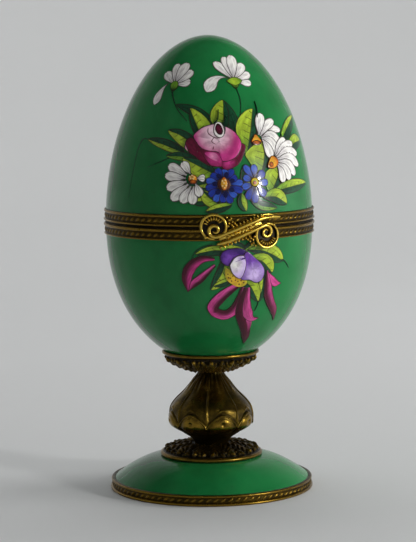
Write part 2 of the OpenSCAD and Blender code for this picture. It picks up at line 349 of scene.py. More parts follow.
def enamel():
    """Painted enamel: each shape's own colour with brush streaks along it, veins on leaves, two creases at
    a petal's foot, and a thin dark outline where the distance from its border is small."""
    f = Finish("painted_enamel")
    paint = f.value("paint", "Color")
    marks = f.value("paint", "Alpha")
    veined, lined = marks.between(0.6, 0.9), (marks - 0.5).of("ABSOLUTE").between(0.2, 0.1)
    brush = f.value("brush", "Vector")
    along, across, border = (f.node("ShaderNodeSeparateXYZ", {}, {0: brush}, i) for i in range(3))
    streaks = f.node("ShaderNodeCombineXYZ", {}, {0: along * 0.35, 1: across * 3.4, 2: border * 0.1})
    hair = f.node("ShaderNodeTexNoise", {}, {"Vector": streaks, "Scale": 1.0, "Detail": 3.0,
                                             "Roughness": 0.6})
    body = f.mix(hair.between(0.42, 0.68) * 0.42, paint, f.mix(1.0, paint, colour(150, 140, 150),
                                                               "MULTIPLY"))
    body = f.mix(hair.between(0.56, 0.3) * 0.5, body, f.mix(1.0, body, paint, "SCREEN"))
    rank = (along * 0.5 - across.of("ABSOLUTE") * 0.7 + hair * 0.5).of("FRACT")
    vein = (rank - 0.5).of("ABSOLUTE").between(0.09, 0.03) * across.of("ABSOLUTE").between(0.66,
                                                                                           0.4) * veined
    spine = across.of("ABSOLUTE").between(0.07, 0.03) * veined
    body = f.mix(vein.of("MAXIMUM", spine) * 0.75, body, f.mix(1.0, body, colour(100, 96, 80), "MULTIPLY"))
    reach = (across.of("ABSOLUTE") - 0.34).of("ABSOLUTE")
    crease = reach.between(0.08, 0.03) * along.between(3.0, 1.4) * lined
    body = f.mix(crease * 0.75, body, colour(70, 52, 60))
    f.shader.inputs["Specular IOR Level"].default_value = 0.25
    width = f.noise(0.9, 2, 0.5) * 0.2 + 0.12
    line = 1 - border.between(width * 0.8, width * 1.25)
    tone = f.mix(line * 0.95, body, colour(40, 24, 20))
    return f.done(
        Base_Color=tone,
        Roughness=hair * 0.1 + 0.24,
        Coat_Weight=0.2,
        Coat_Roughness=0.07,
        Normal=f.bump(hair * 0.8 - line, 0.04, 0.7),
    )


GREEN = glaze("green_porcelain")
ENAMEL = enamel()
AGED = colour(18, 13, 4), colour(56, 44, 14), colour(132, 104, 36)
ANTIQUE = brass("antique_brass", *AGED, 0.27, 0.5)
HINGE = brass("hinge_brass", *AGED, 0.25, 0.5, 0.5)
RUBBED = brass("rubbed_brass", colour(18, 14, 5), colour(88, 70, 20), colour(218, 184, 78), 0.2, 0.3)
POLISHED = brass("polished_antique_brass", colour(24, 18, 6), colour(66, 53, 17), colour(150, 120, 44),
                 0.17, 0.35)
PLAIN = brass("plain_brass", colour(60, 46, 20), colour(130, 102, 44), colour(190, 156, 78), 0.28, 0.4, 0.5)
LEATHER = leather()

# ---------------------------------------------------------------- porcelain


def egg_profile(length, radius, powers, low, high, count):
    """(radius, height from the seam) along one end of the egg, closer together near its tip."""
    a = np.linspace(np.arcsin(low / length), np.arcsin(high / length), count)
    h = length * np.sin(a)
    r = radius * np.maximum(0, 1 - (h / length) ** powers[0]) ** (1 / powers[1])
    return np.stack([r, h], 1)


def lid_porcelain():
    """The lid: the egg's upper end outside, a smaller one of the same form inside, and a flat rim between."""
    outer = egg_profile(LID_H, EGG_R, (1.95, 1.92), 0.65, LID_H, 90)
    inner = egg_profile(LID_H - WALL, EGG_R - WALL, (1.95, 1.92), 0.65, LID_H - WALL, 60)
    outer[-1, 0] = inner[-1, 0] = 0
    line = [(r, SEAM + h) for r, h in outer]
    wall = [(r, SEAM + h) for r, h in inner]
    rim = [(EGG_R - 0.02, SEAM + 0.63), (EGG_R - WALL + 0.02, SEAM + 0.63)]
    piece = Solid()
    profile = np.array(wall[::-1] + rim[::-1] + line)
    inside = np.array([1.0] * (len(wall) + 2) + [0.0] * len(line))
    piece.grid(turned(profile, 192), columns=True, inside=inside[:, None, None])
    piece.make("lid_porcelain", "lid", GREEN, "green_porcelain", ["lid_shell"], 60)


def bowl_porcelain():
    """The bowl ends in a flat seat with a hole for the tie bolt, and has a flat floor inside."""
    outer = egg_profile(BOWL_H, EGG_R, (2.3, 1.83), 0.65, 42.2, 90)
    inner = egg_profile(BOWL_H - WALL - 0.4, EGG_R - WALL, (2.3, 1.83), 0.65, 39.0, 60)
    line = [(r, SEAM - h) for r, h in outer[::-1]]
    wall = [(r, SEAM - h) for r, h in inner]
    seat, floor, bore = SEAM - 42.2, SEAM - 39.0, 1.8
    ring = [(wall[-1][0] - 0.6, floor), (bore + 0.3, floor), (bore, floor - 0.2), (bore, seat + 0.1),
            (bore + 0.2, seat)]
    rim = [(EGG_R - 0.02, SEAM - 0.63), (EGG_R - WALL + 0.02, SEAM - 0.63)]
    profile = np.array(line + rim + wall + ring)
    inside = np.array([0.0] * len(line) + [1.0] * (len(rim) + len(wall) + len(ring)))
    piece = Solid()
    piece.grid(turned(profile, 192), rows=True, columns=True, inside=inside[:, None, None])
    piece.make("bowl_porcelain", "base", GREEN, "green_porcelain", ["bowl_shell"], 60)


def foot_porcelain():
    """The foot falls from its crown to its edge by the 1.75th power of the way out."""
    t = np.linspace(0, 1, 60)
    r, z = 14.2 + 14.7 * t, 9.57 - 6.47 * t ** 1.75
    outer = np.stack([r, z], 1)[::-1]
    inner = np.stack([r - 0.9, z - 2.4], 1)
    edge = [(26.5, 0.7), (26.9, 0.7), (28.7, 0.7), (28.9, 0.9)]
    crown = [(8.0, 9.57), (1.9, 9.57), (1.8, 9.4), (1.8, 7.3), (2.0, 7.17), (8.0, 7.17)]
    profile = np.concatenate([edge, outer, crown, inner[:-1]])
    inside = np.concatenate([[1, 1, 0, 0], np.zeros(len(outer) + 2), np.ones(4 + len(inner) - 1)])
    piece = Solid()
    piece.grid(turned(profile, 192), rows=True, columns=True, inside=inside[:, None, None])
    piece.make("foot_porcelain", "base", GREEN, "green_porcelain", ["foot_dome"], 60)


# ---------------------------------------------------------------- brass ornament


def strokes(angle, height, radius, count, middle):
    """Slanted teardrops round a band: in each of count equal cells, an ellipsoid whose long axis leans 35
    degrees from the belt. Gives its height from 0 to 1."""
    cell = ((angle * count / TURN) % 1 - 0.5) * TURN * radius / count
    rise = height - middle
    long, short = cell * 0.82 + rise * 0.57, rise * 0.82 - cell * 0.57
    return np.sqrt(np.clip(1 - (long / 0.92) ** 2 - (short / 0.4) ** 2, 0, 1))


def bead(height, middle, radius):
    """Half-round moulding: the height of a circle above its diameter."""
    return np.sqrt(np.clip(radius ** 2 - (height - middle) ** 2, 0, None))


def bezel(name, body, replaced, sign, near, far, flange):
    """Half of the belt: a band with a bead beside the seam, a band of slanted strokes and a bead at the
    far edge, closed by the flange over the porcelain's edge. sign is 1 for the lid and -1 for the bowl."""
    cells = 90
    count = cells * 12
    angle = turns(count)
    up = np.linspace(0.12, 3.72, 58)[:, None]
    near_z, far_z = 0.35 + near, 3.7 - far
    low, high = near_z + near, far_z - far
    middle = (low + high) / 2
    field = 30.66 - 0.1 * np.abs(up - middle) / 1.2
    stroke = strokes(angle, up * sign, BAND, cells, middle * sign)
    radius = field + 0.24 * stroke
    for z, r, out in ((near_z, near, BELT), (far_z, far, BAND + 0.18)):
        radius = np.maximum(radius, out - r + 1.02 * bead(up, z, r) - 0.3 * (np.abs(up - z) > r))
    relief = np.clip(0.3 + (radius - 30.62) / 0.6, 0, 1)
    outer = around(radius, SEAM + sign * up, angle)
    back = np.array([(30.53, 3.7), (30.53, 0.62), (flange, 0.62), (flange, 0.1), (30.6, 0.1)])
    inner = around(back[:, :1], SEAM + sign * back[:, 1:], angle)
    points = np.concatenate([outer, inner])
    relief = np.concatenate([relief, np.full((len(back), count), 0.45)])
    if sign < 0:
        points, relief = points[::-1], relief[::-1]
    piece = Solid()
    piece.grid(points, rows=True, columns=True, relief=relief[..., None])
    piece.make(name, body, ANTIQUE, "antique_brass", [replaced], 50)


def foot_bezel():
    """The band round the foot's edge: a plain moulding, a row of slanted strokes and a foot bead on the
    table."""
    cells = 88
    count = cells * 12
    angle = turns(count)
    up = np.linspace(0.02, 3.18, 52)[:, None]
    stroke = strokes(angle, up, 30, cells, 1.62)
    radius = 29.58 + 0.28 * stroke
    for z, r, out in ((0.45, 0.45, 30.2), (2.78, 0.38, 29.95)):
        radius = np.maximum(radius, out - r + bead(up, z, r) - 0.3 * (np.abs(up - z) > r))
    relief = np.clip(0.22 + (radius - 29.5) / 0.6, 0, 1)
    back = np.array([(28.93, 3.16), (28.93, 0.64), (26.3, 0.64), (26.3, 0.0), (29.7, 0.0)])
    points = np.concatenate([around(radius, up, angle), turned(back, count)])
    relief = np.concatenate([relief, np.full((len(back), count), 0.4)])
    piece = Solid()
    piece.grid(points, rows=True, columns=True, relief=relief[..., None])
    piece.make("foot_band", "base", ANTIQUE, "antique_brass", ["foot_bezel"], 50)


def carve(profile, count, height):
    """A turned surface pushed out along its own normal. height is a function of the turn angle and of the
    share of the way along the profile. Gives the points, and the heights scaled to 0..1."""
    p = np.array(profile, float)
    along = lengths(p)
    slope = np.gradient(p, along, axis=0)
    normal = np.stack([slope[:, 1], -slope[:, 0]], 1)
    normal /= np.linalg.norm(normal, axis=1)[:, None]
    angle = turns(count)
    out = height(angle, (along / along[-1])[:, None])
    points = around(p[:, :1] + out * normal[:, :1], p[:, 1:] + out * normal[:, 1:], angle)
    return points, out


def leafwork(angle, share, folds, start, end, depth):
    """Foliage round a ring: in each sector a broad lobe with a rib down its middle and scalloped side
    veins, a narrower lobe in the gap behind it, and small round berries scattered by two crossed waves."""
    total = 0
    for shift, width, height in ((0.5, 0.6, 0.66), (0.0, 0.84, 1.0)):
        cell = 2 * ((angle * folds / TURN + shift) % 1) - 1
        cell = cell + 0.16 * np.sin(share * 9 + angle * 3)
        t = np.clip((share - start) / (end - start), 0, 1)
        veins = np.abs(np.cos(np.pi * (4.5 * t - 1.6 * np.abs(cell))))
        edge = width * np.sin(np.pi * np.clip(0.12 + 0.88 * t, 0, 1) ** 0.8) ** 0.6 * (0.7 + 0.3 * veins)
        inside = np.clip(1 - (cell / np.maximum(edge, 0.02)) ** 2, 0, 1) ** 0.5
        rib = np.exp(-((cell / 0.12) ** 2))
        lobe = height * inside * (0.45 + 0.55 * veins) + 0.22 * rib * (inside > 0)
        total = np.maximum(total, lobe)
    berries = np.cos(angle * folds * 2.5 + share * 14) * np.cos(share * 26 - angle * folds)
    total = np.maximum(total, 0.8 * np.clip(berries * 1.8 - 0.8, 0, 1) ** 0.5)
    return depth * total * ramp(share, start - 0.02, start + 0.02) * (1 - ramp(share, end - 0.02,
                                                                               end + 0.02))


def collar():
    """The cup under the bowl: a plain bright rim, leafwork below it, and a scalloped lower edge."""
    count = 864
    low = [(1.75, 37.72), (1.62, 37.6), (1.62, 35.4), (1.65, 35.2), (3.9, 35.2)]
    side = smooth_line([(4.3, 35.22), (5.4, 35.45), (7.2, 36.0), (9.4, 36.9), (11.4, 37.9), (12.9, 39.0),
                        (13.3, 39.85)], 70)
    rim = [(13.7, 40.1), (14.15, 40.2), (14.36, 40.36), (14.42, 40.62), (14.38, 40.88), (14.22, 41.08),
           (13.95, 41.15)]
    depth = np.linspace(38.9, 42.15, 14)
    cup = np.stack([egg_radius(-depth) + 0.05, SEAM - depth - 0.05], 1)
    points, out = carve(side, count, lambda a, s: leafwork(a, s, 14, 0.14, 0.97, 0.85))
    relief = [np.zeros((len(low), count)), out * 0.95, np.full((len(rim), count), 0.7),
              np.full((len(cup), count), 0.4)]
    piece = Solid()
    grid = np.concatenate([turned(low, count), points, turned(rim, count), turned(cup, count)])
    piece.grid(grid, rows=True, columns=True, relief=np.concatenate(relief)[..., None])
    piece.make("collar_leafwork", "base", ANTIQUE, "antique_brass", ["bowl_collar"], 60)


def knop_relief(angle, radius, height):
    """Eight lappets round the knop: in each sector a low arch, level less a power of the way to its side,
    with a raised lip, a groove over it and a fainter second line, a cushion inside it, and a ridge that
    runs from each meeting point of two arches up to the neck and thickens downwards."""
    cell = 2 * ((angle * 8 / TURN + 0.5) % 1) - 1
    arch = 19.1 + 3.9 * (1 - np.abs(cell) ** 1.8)
    over = height - arch
    lip = 0.42 * np.exp(-((over / 0.3) ** 2)) - 0.22 * np.exp(-(((over - 0.75) / 0.34) ** 2))
    second = 0.2 * np.exp(-(((over - 1.5 + 1.2 * np.abs(cell)) / 0.3) ** 2)) * (1 - np.abs(cell) ** 3)
    low = 16.6
    t = np.clip((height - low) / np.maximum(arch - low, 0.5), 0, 1)
    cushion = 0.85 * np.sin(np.pi * t ** 1.2) ** 0.8 * (1 - np.abs(cell) ** 2.2) * (height < arch)
    dimple = -0.5 * np.exp(-(((height - 20.4) / 0.55) ** 2) - ((cell / 0.13) ** 2))
    side = (1 - np.abs(cell)) * radius * np.pi / 8
    thick = 0.26 + 0.5 * (1 - ramp(height, 19.5, 23.5))
    ridge = 0.4 * np.exp(-((side / thick) ** 2)) * ramp(height, 18.2, 19.4) * (1 - ramp(height, 32.5, 34.5))
    panel = 0.3 * (1 - cell ** 2) * ramp(height, 22.5, 25) * (1 - ramp(height, 31, 34))
    pleat = 0.12 * np.cos(cell * np.pi * 3) * ramp(height, 28, 32) * (1 - ramp(height, 33.5, 35))
    return lip + second + cushion + dimple + ridge + panel + pleat - 0.35


def knop():
    """A turned vase: a slim neck, a belly of lappets and a short foot, bored for the tie bolt."""
    count = 640
    side = smooth_line([(5.4, 12.95), (6.2, 14.4), (9.0, 16.3), (11.6, 18.5), (12.4, 20), (12.6, 21.8),
                        (12.2, 24.1), (10.7, 26.3), (8.2, 28.8), (6.2, 31.3), (4.5, 33.8), (3.9, 35.15)],
                       150)
    points, out = carve(side, count, lambda a, s: knop_relief(a, side[:, :1], side[:, 1:]))
    bore = turned([(1.62, 35.15), (1.62, 12.95)], count)
    relief = np.concatenate([np.clip(0.5 + out * 0.55, 0, 1), np.zeros((2, count))])
    piece = Solid()
    piece.grid(np.concatenate([points, bore]), rows=True, columns=True, relief=relief[..., None])
    piece.make("knop_lappets", "base", POLISHED, "antique_brass", ["knop"], 60)


def flange():
    """The disc that clamps the foot: leafwork on its slope and a plain bright rim."""
    count = 864
    rim = [(1.62, 9.6), (14.6, 9.6), (14.95, 9.68), (15.15, 9.9), (15.2, 10.2), (15.15, 10.5),
           (14.95, 10.72), (14.6, 10.82)]
    side = smooth_line([(14.3, 10.9), (13.2, 11.5), (11.5, 11.95), (9.4, 12.3), (7.2, 12.6), (5.6, 12.82)],
                       60)
    top = [(5.0, 12.86), (1.62, 12.86)]
    points, out = carve(side, count, lambda a, s: leafwork(a, 1 - s, 14, 0.03, 0.96, 0.75))
    relief = np.concatenate([np.full((len(rim), count), 0.7), out * 0.8, np.zeros((len(top), count))])
    piece = Solid()
    grid = np.concatenate([turned(rim, count), points, turned(top, count)])
    piece.grid(grid, rows=True, columns=True, relief=relief[..., None])
    piece.make("flange_leafwork", "base", ANTIQUE, "antique_brass", ["foot_flange"], 60)


# ---------------------------------------------------------------- clasp


class Clasp(Solid):
    """One half of the clasp. Its drawing is upright for the lid and turned half round for the bowl."""

    def __init__(self, side):
        super().__init__()
        self.side = side

    def wire(self, line, width, height, base=0.0):
        """A wire along a line of the drawing: an oval carried along it, with the half widths given from
        its start to its end."""
        p = np.array(line, float)
        n = len(p)
        slope = directions(p)
        across = np.stack([slope[:, 1], -slope[:, 0]], 1)
        w = np.interp(np.linspace(0, 1, n), np.linspace(0, 1, len(width)), width)
        a = np.linspace(0, TURN, 12, endpoint=False)
        x = p[:, :1] + across[:, :1] * w[:, None] * np.cos(a)
        z = p[:, 1:] + across[:, 1:] * w[:, None] * np.cos(a)
        depth = base + height * (0.5 + 0.5 * np.sin(a)) * (w / w.max())[:, None] ** 0.4
        relief = 0.15 + 0.85 * np.clip(0.5 + 0.5 * np.sin(a), 0, 1)[None, :, None] * np.ones((n, 1, 1))
        self.grid(self.place(x, z, depth), columns=True, caps=True, relief=relief)

    def disc(self, at, radius, height):
        """A thin round plate on the back of the drawing: from its middle to its edge and back to its
        middle. Its relief is zero, so it takes the darkest brass tone all over: painted shade that fills the
        hollows between the volute's turns."""
        r = np.array([0, radius * 0.5, radius, radius, radius * 0.5, 0])[:, None]
        out = np.array([0.0, 0.0, 0.0, height, height, height])[:, None]
        a = np.linspace(0, TURN, 40, endpoint=False)[None]
        points = self.place(at[0] + r * np.cos(a), at[1] - r * np.sin(a), out + 0 * a)
        # painted shade: zero relief gives the whole plate the darkest brass tone
        self.grid(points[::-1], columns=True, relief=np.zeros((6, 40, 1)))

    def place(self, x, z, out):
        """A point of the flat drawing wrapped round the belt, out from the clasp's back."""
        return np.stack([self.side * x, -np.sqrt((CLASP_IN + out) ** 2 - x ** 2), CLASP_Z + self.side * z],
                        -1)

    def drop(self, at, length, width, lean, height, base=0.2):
        """A teardrop lying on the drawing from a point, along a direction in degrees: width by the square
        root of a sine along it, and a dome across it."""
        t = np.linspace(0.02, 0.98, 9)[:, None]
        a = np.linspace(0, TURN, 10, endpoint=False)[None]
        w = width * np.sin(np.pi * t ** 0.7) ** 0.7
        along, across = t * length, w * np.cos(a)
        c, s = np.cos(np.radians(lean)), np.sin(np.radians(lean))
        x, z = at[0] + along * c - across * s, at[1] + along * s + across * c
        depth = base + height * np.sin(np.pi * t) ** 0.6 * (0.5 - 0.5 * np.sin(a))
        relief = (0.1 + 0.9 * (0.5 - 0.5 * np.sin(a)) * np.ones_like(t))[..., None]
        self.grid(self.place(x, z, depth), columns=True, caps=True, relief=relief)


def spiral(centre, start, end, inner, outer, count):
    """Radius from one value to another as the angle goes round."""
    a = np.radians(np.linspace(start, end, count))
    r = np.linspace(inner, outer, count)
    return np.stack([centre[0] + r * np.cos(a), centre[1] + r * np.sin(a)], 1)


def clasp_half(name, body, replaced, side, hook):
    """Half of the S. A volute: a thin ring over a plate kept dark as painted shade in its hollow, a fan of
    short ribs under its top, and a curl that unwinds into a smooth rail rising to the far side, with a ridge
    and pearls along the rail's outer side, berries beside the volute and leaves on the rail's inner side."""
    c = Clasp(side)
    eye = np.array([-7.9, 1.45])
    # painted shade: a dark plate behind the volute, standing in for the shade between its turns
    c.disc(eye, 3.5, 0.25)
    c.wire(spiral(eye, -66, 272, 3.42, 3.42, 60), [0.34, 0.44, 0.3], 1.0, 0.25)
    curl = spiral(eye + (0.3, -1.0), -500, -70, 0.5, 1.95, 60)
    end = [(6.4, 3.4), (9.4, 3.7)] if hook else [(5.2, 3.05), (7.0, 3.5)]
    rail = smooth_line([curl[-1], (-2.5, 0.25), (2.6, 2.15), *end], 60)
    line = np.concatenate([curl[:-1], rail])
    c.wire(line, [0.26, 0.42, 0.5, 0.54, 0.58, 0.6, 0.6, 0.56, 0.4], 1.35)
    c.wire(rail[6:48] + np.array([0.02, 0.6]), [0.16, 0.2, 0.2, 0.16], 0.9)
    for turn in range(38, 160, 17):
        along = np.array([np.cos(np.radians(turn)), np.sin(np.radians(turn))])
        c.drop(eye + 1.55 * along, 1.75, 0.26, turn, 1.0, 0.3)
    c.drop(eye + (-2.7, -2.9), 1.1, 0.6, 0, 1.3, 0.2)
    for x in np.linspace(-2.4, 6.0, 9):
        c.drop((x - 0.42, np.interp(x, rail[:, 0], rail[:, 1]) + 1.16), 0.84, 0.42, 0, 0.95, 0.15)
    for x, z in ((4.0, 0.1), (4.4, 0.9), (4.3, 1.8), (5.1, 0.4), (5.3, 1.3), (6.0, 0.8), (3.7, 2.6),
                 (4.9, 2.3)):
        c.drop(eye + (x - 0.4, z), 0.85, 0.43, 12, 0.95, 0.2)
    c.wire(smooth_line([(-6.3, -1.9), (-3.0, -0.9), (0.4, 0.2), (3.4, 1.2), (6.2, 2.2)], 24),
           [0.3, 0.7, 1.0, 0.8, 0.3], 0.3, 0.1)
    for x, length, lean in ((-3.4, 1.1, -40), (-2.2, 1.3, -48), (-1.0, 1.6, -60), (0.1, 1.8, -70),
                            (1.2, 1.8, -80), (2.3, 1.4, -62), (3.5, 1.1, -40)):
        c.drop((x, np.interp(x, rail[:, 0], rail[:, 1]) - 0.5), length, 0.4, lean, 0.95)
    pad = np.linspace(0.3, 0.68, 8) if side < 0 else np.linspace(0.6, 0.95, 8)
    c.wire([(-6.5 + 12.9 * t, -1.3 + 4.8 * t) for t in pad], [0.42], 0.75, -0.42)
    if hook:
        c.wire(smooth_line([(6.0, 4.1), (7.0, 4.5), (9.2, 4.45), (9.9, 4.0), (9.4, 3.6)], 24),
               [0.24, 0.3, 0.3, 0.26], 0.9, 0.1)
        c.wire([(9.2, 3.7), (10.4, 3.66), (11.6, 3.6), (12.6, 3.5)], [0.5, 0.52, 0.45, 0.25], 0.6, -0.4)
    c.make(name, body, RUBBED, "rubbed_brass", [replaced], 55)


# ---------------------------------------------------------------- painting


LIME, LEAF, DEEP, MOSS = colour(166, 192, 52), colour(104, 152, 42), colour(10, 44, 26), colour(16, 66, 40)
WHITE, CREAM, SHADOW = colour(238, 236, 230), colour(236, 226, 190), colour(196, 192, 192)
BLUSH, PINK, ROSE, MAROON = colour(244, 222, 230), colour(226, 140, 182), colour(190, 52, 126), colour(92,
                                                                                                       6,
                                                                                                       42)
BLUE, NAVY, SKY = colour(24, 50, 150), colour(8, 14, 66), colour(46, 84, 184)
PURPLE, LILAC, VIOLET = colour(112, 62, 170), colour(204, 180, 232), colour(46, 16, 92)
GOLD, AMBER, BROWN, OLIVE = colour(228, 176, 44), colour(200, 100, 22), colour(84, 40, 16), colour(176, 156,
                                                                                                   40)
MAGENTA, CHERRY, WINE = colour(212, 80, 152), colour(52, 2, 22), colour(78, 4, 36)


def blend(first, second, t):
    """A colour between two, for each value of t."""
    t = np.asarray(t, float)[..., None]
    return np.array(first) * (1 - t) + np.array(second) * t


class Painting(Solid):
    """Shapes painted on the egg about one place, each a thin closed patch of enamel. Places are given as
    an angle in degrees and a height in millimetres from the seam."""

    coat = 0.013  # how much higher each shape lies than the one painted before it
    rise, root = 0.03, -0.06  # the first shape's top and every shape's underside, from the glaze
    dome = 0.35  # how far in from its border a shape is domed

    def __init__(self, angle, height, start=0.0):
        super().__init__()
        self.angle, self.arc = np.radians(angle), np.interp(height, egg_h, egg_arc)
        self.layer = start

    def flat(self, places):
        """Places as millimetres right and up from the centre: angle times the egg's radius there, and arc."""
        p = np.array(places, float)
        arc = np.interp(p[:, 1], egg_h, egg_arc)
        return np.stack([(np.radians(p[:, 0]) - self.angle) * np.interp(arc, egg_arc, egg_r),
                         arc - self.arc], 1)

    def lay(self, x, y, tones, along, across, border, puff, marks=0.0):
        """Lays a patch whose top is lifted above the last one and domed away from its border."""
        self.layer += self.coat
        arc = self.arc + y
        angle = self.angle + x / np.interp(arc, egg_arc, egg_r)
        up = self.rise + self.layer + puff * (1 - np.exp(-np.clip(border, 0, None) / self.dome))
        self.layer += puff if puff > self.rise else 0
        paint = np.concatenate([np.broadcast_to(tones, x.shape + (3,)), np.full(x.shape + (1,), marks)], -1)
        brush = np.stack(np.broadcast_arrays(along, across, border), -1)
        self.slab(on_egg(angle, arc, up), on_egg(angle, arc, self.root), paint=paint, brush=brush)

    def blade(self, places, width, tones, full=0.55, blunt=0.7, marks=0.0, puff=0.012, split=None, tip=0.0,
              left=1.0, right=1.0, outline=True, foot=0.0):
        """A petal or leaf along a smooth line: half width times a sine of the way along it, shifted so
        that it is widest at full, to the power blunt. tones are its colours from foot to tip; split
        gives the right half's."""
        spine = smooth_line(self.flat(places), 40)
        along = lengths(spine)
        t = 0.5 - 0.5 * np.cos(np.linspace(0.03, 1, 15) * np.pi)
        t[-1] = 0.998
        x, y = (np.interp(t * along[-1], along, spine[:, i]) for i in (0, 1))
        slope = directions(np.stack([x, y], 1))
        half = width / 2 * np.maximum(np.sin(np.pi * t ** (np.log(0.5) / np.log(full))) ** blunt,
                                      foot * (1 - t))
        v = np.array([-1, -0.82, -0.5, -0.2, -0.02, 0.02, 0.2, 0.5, 0.82, 1.0])[None]
        side = half[:, None] * np.where(v < 0, left, right)
        reach = side * v
        notch = -tip * np.abs(np.cos(v * np.pi * 1.25)) * ramp(t, 0.6, 1)[:, None]
        px = x[:, None] + slope[:, 1:] * reach + slope[:, :1] * notch
        py = y[:, None] - slope[:, :1] * reach + slope[:, 1:] * notch
        border = np.minimum((1 - np.abs(v)) * side, ((1 - t) * along[-1])[:, None] + 0.02)
        fade = ramp(t, 0.05, 0.6)[:, None] + 0 * v
        shown = blend(*tones, fade)
        if split:
            shown = np.where(v[..., None] > 0, blend(*split, fade), shown)
        self.lay(px[:, ::-1], py[:, ::-1], shown[:, ::-1], (t * along[-1])[:, None], v[:, ::-1],
                 (border if outline else border + 1)[:, ::-1], puff, marks)

    def leaf(self, places, light, dark, side=1, full=0.45, tones=(LEAF, LIME)):
        """A leaf from its foot to its tip: a light half and a dark half of the given widths on the two
        sides of its rib, the light one on the left, or on the right where side is -1."""
        shade = (DEEP, MOSS)
        if side > 0:
            self.blade(places, 2.0, tones, full, 0.6, 1.0, left=light, right=dark, split=shade)
        else:
            self.blade(places, 2.0, shade, full, 0.6, 1.0, left=dark, right=light, split=tones)

    def stroke(self, places, widths, tones, puff=0.012, outline=False, split=None):
        """A line of paint through places, as wide as the widths along it."""
        spine = smooth_line(self.flat(places), 8 * len(places))
        n = len(spine)
        t = np.linspace(0, 1, n)
        slope = directions(spine)
        half = np.interp(t, np.linspace(0, 1, len(widths)), widths)[:, None] / 2
        v = np.array([1, 0.8, 0.4, 0.03, -0.03, -0.4, -0.8, -1.0])[None]
        px, py = spine[:, :1] + slope[:, 1:] * half * v, spine[:, 1:] - slope[:, :1] * half * v
        fade = t[:, None] + 0 * v
        shown = blend(*tones, fade)
        if split:
            over = ramp(v, -0.3, 0.2)[..., None]
            shown = shown * (1 - over) + blend(*split, fade) * over
        border = (1 - np.abs(v)) * half
        self.lay(px, py, shown, lengths(spine)[:, None], v, border if outline else border + 1, puff)

    def blob(self, centre, places, tones, puff=0.02, outline=True, gather=(0, 0)):
        """A patch inside a closed smooth line through places: rings between its centre and the line. tones
        are its colours at the centre and at the border; gather moves the lightest place off the centre,
        in mm."""
        rim = smooth_line(self.flat(places), 6 * len(places), closed=True)
        middle = self.flat([centre])[0]
        area = np.sum(rim[:, 0] * np.roll(rim[:, 1], -1) - rim[:, 1] * np.roll(rim[:, 0], -1))
        rim = rim if area < 0 else rim[::-1]
        rim = np.concatenate([rim, rim[:1]])
        t = np.array([0.03, 0.18, 0.34, 0.5, 0.66, 0.8, 0.91, 1.0])[:, None]
        x = middle[0] + (rim[None, :, 0] - middle[0]) * t
        y = middle[1] + (rim[None, :, 1] - middle[1]) * t
        reach = np.hypot(rim[:, 0] - middle[0], rim[:, 1] - middle[1])[None]
        far = np.hypot(x - middle[0] - gather[0], y - middle[1] - gather[1]) / reach.mean()
        border = (1 - t) * reach
        around_it = np.linspace(0, 0.4, len(rim))[None] * reach.mean()
        self.lay(x, y, blend(*tones, np.clip(far, 0, 1) ** 1.3), t * reach, around_it,
                 border if outline else border + 1, puff)

    def dot(self, place, radius, tones, puff=0.06, outline=True):
        """A round spot of paint."""
        a = turns(8)[0]
        girth = egg_radius(np.float64(place[1]))
        across, up = np.degrees(radius * np.cos(a) / girth), radius * np.sin(a)
        self.blob(place, np.stack([place[0] + across, place[1] + up], 1), tones, puff, outline)

    def stamens(self, places, radius=0.26):
        """Small raised pale dots."""
        for place in places:
            self.dot(place, radius, (CREAM, GOLD), 0.12, False)

    def finish(self, name, body):
        self.make(name, body, ENAMEL, "painted_enamel", (), 45)


def daisy_petals(p, petals, width, notch=0.25):
    """White petals, each given as its places from foot to tip and a factor on the width, notched at their
    tips."""
    for places, wide in petals:
        p.blade(places, width * wide, (SHADOW, WHITE), 0.66, 0.42, 0.5, tip=notch, foot=0.3)


def top_daisies():
    """Two half-open white daisies on thin stems near the top of the lid."""
    p = Painting(-45, 41)
    p.stroke([(-44.8, 38.0), (-41.1, 35.1), (-36.9, 32.7), (-30, 29.8)], [0.36, 0.34, 0.28, 0.24],
             (DEEP, DEEP))
    p.blade([(-46.0, 40.4), (-50.5, 40.4), (-55, 38.4), (-58, 34.2)], 3.0, (SHADOW, WHITE), 0.76, 0.8, 0.5)
    daisy_petals(p, [([(-46.2, 40.4), (-59, 43.6)], 1.1), ([(-42.3, 40.0), (-30, 40.8)], 1.0),
                     ([(-45.2, 40.6), (-49.4, 46.0)], 1.0), ([(-42.4, 40.4), (-29.6, 44.0)], 1.15),
                     ([(-43.8, 40.6), (-37.4, 46.2)], 1.2)], 3.0)
    p.blade([(-44.6, 38.0), (-44.2, 41.0)], 2.6, (DEEP, LEAF), 0.6, 0.5)
    p.finish("painted_daisy_left_bud", "lid")
    p = Painting(5, 41)
    p.stroke([(6.5, 39.2), (7.6, 35), (4.6, 30.0)], [0.36, 0.32, 0.24], (DEEP, DEEP))
    p.blade([(4.5, 41.2), (-3, 42.0), (-11, 41.2), (-17.6, 37.8)], 3.8, (SHADOW, WHITE), 0.74, 0.75, 0.5)
    daisy_petals(p, [([(8.5, 41.0), (22.5, 39.9)], 1.0), ([(7.5, 41.4), (26, 42.8)], 1.1),
                     ([(4.8, 41.6), (-10, 46.4)], 1.15), ([(5.6, 41.7), (2.6, 47.8)], 1.1),
                     ([(7.6, 41.6), (23.5, 45.8)], 1.25), ([(6.6, 41.8), (13.5, 48.2)], 1.25)], 2.8)
    p.blade([(6.4, 38.6), (6.7, 40.8)], 2.3, (DEEP, LEAF), 0.6, 0.5)
    p.blob((6.7, 40.7), [(-0.4, 40.8), (3, 41.6), (7, 41.9), (11, 41.6), (13.8, 40.8), (10, 39.8),
                         (6.7, 39.5), (3, 39.8)], (LIME, LEAF))
    p.finish("painted_daisy_right_bud", "lid")


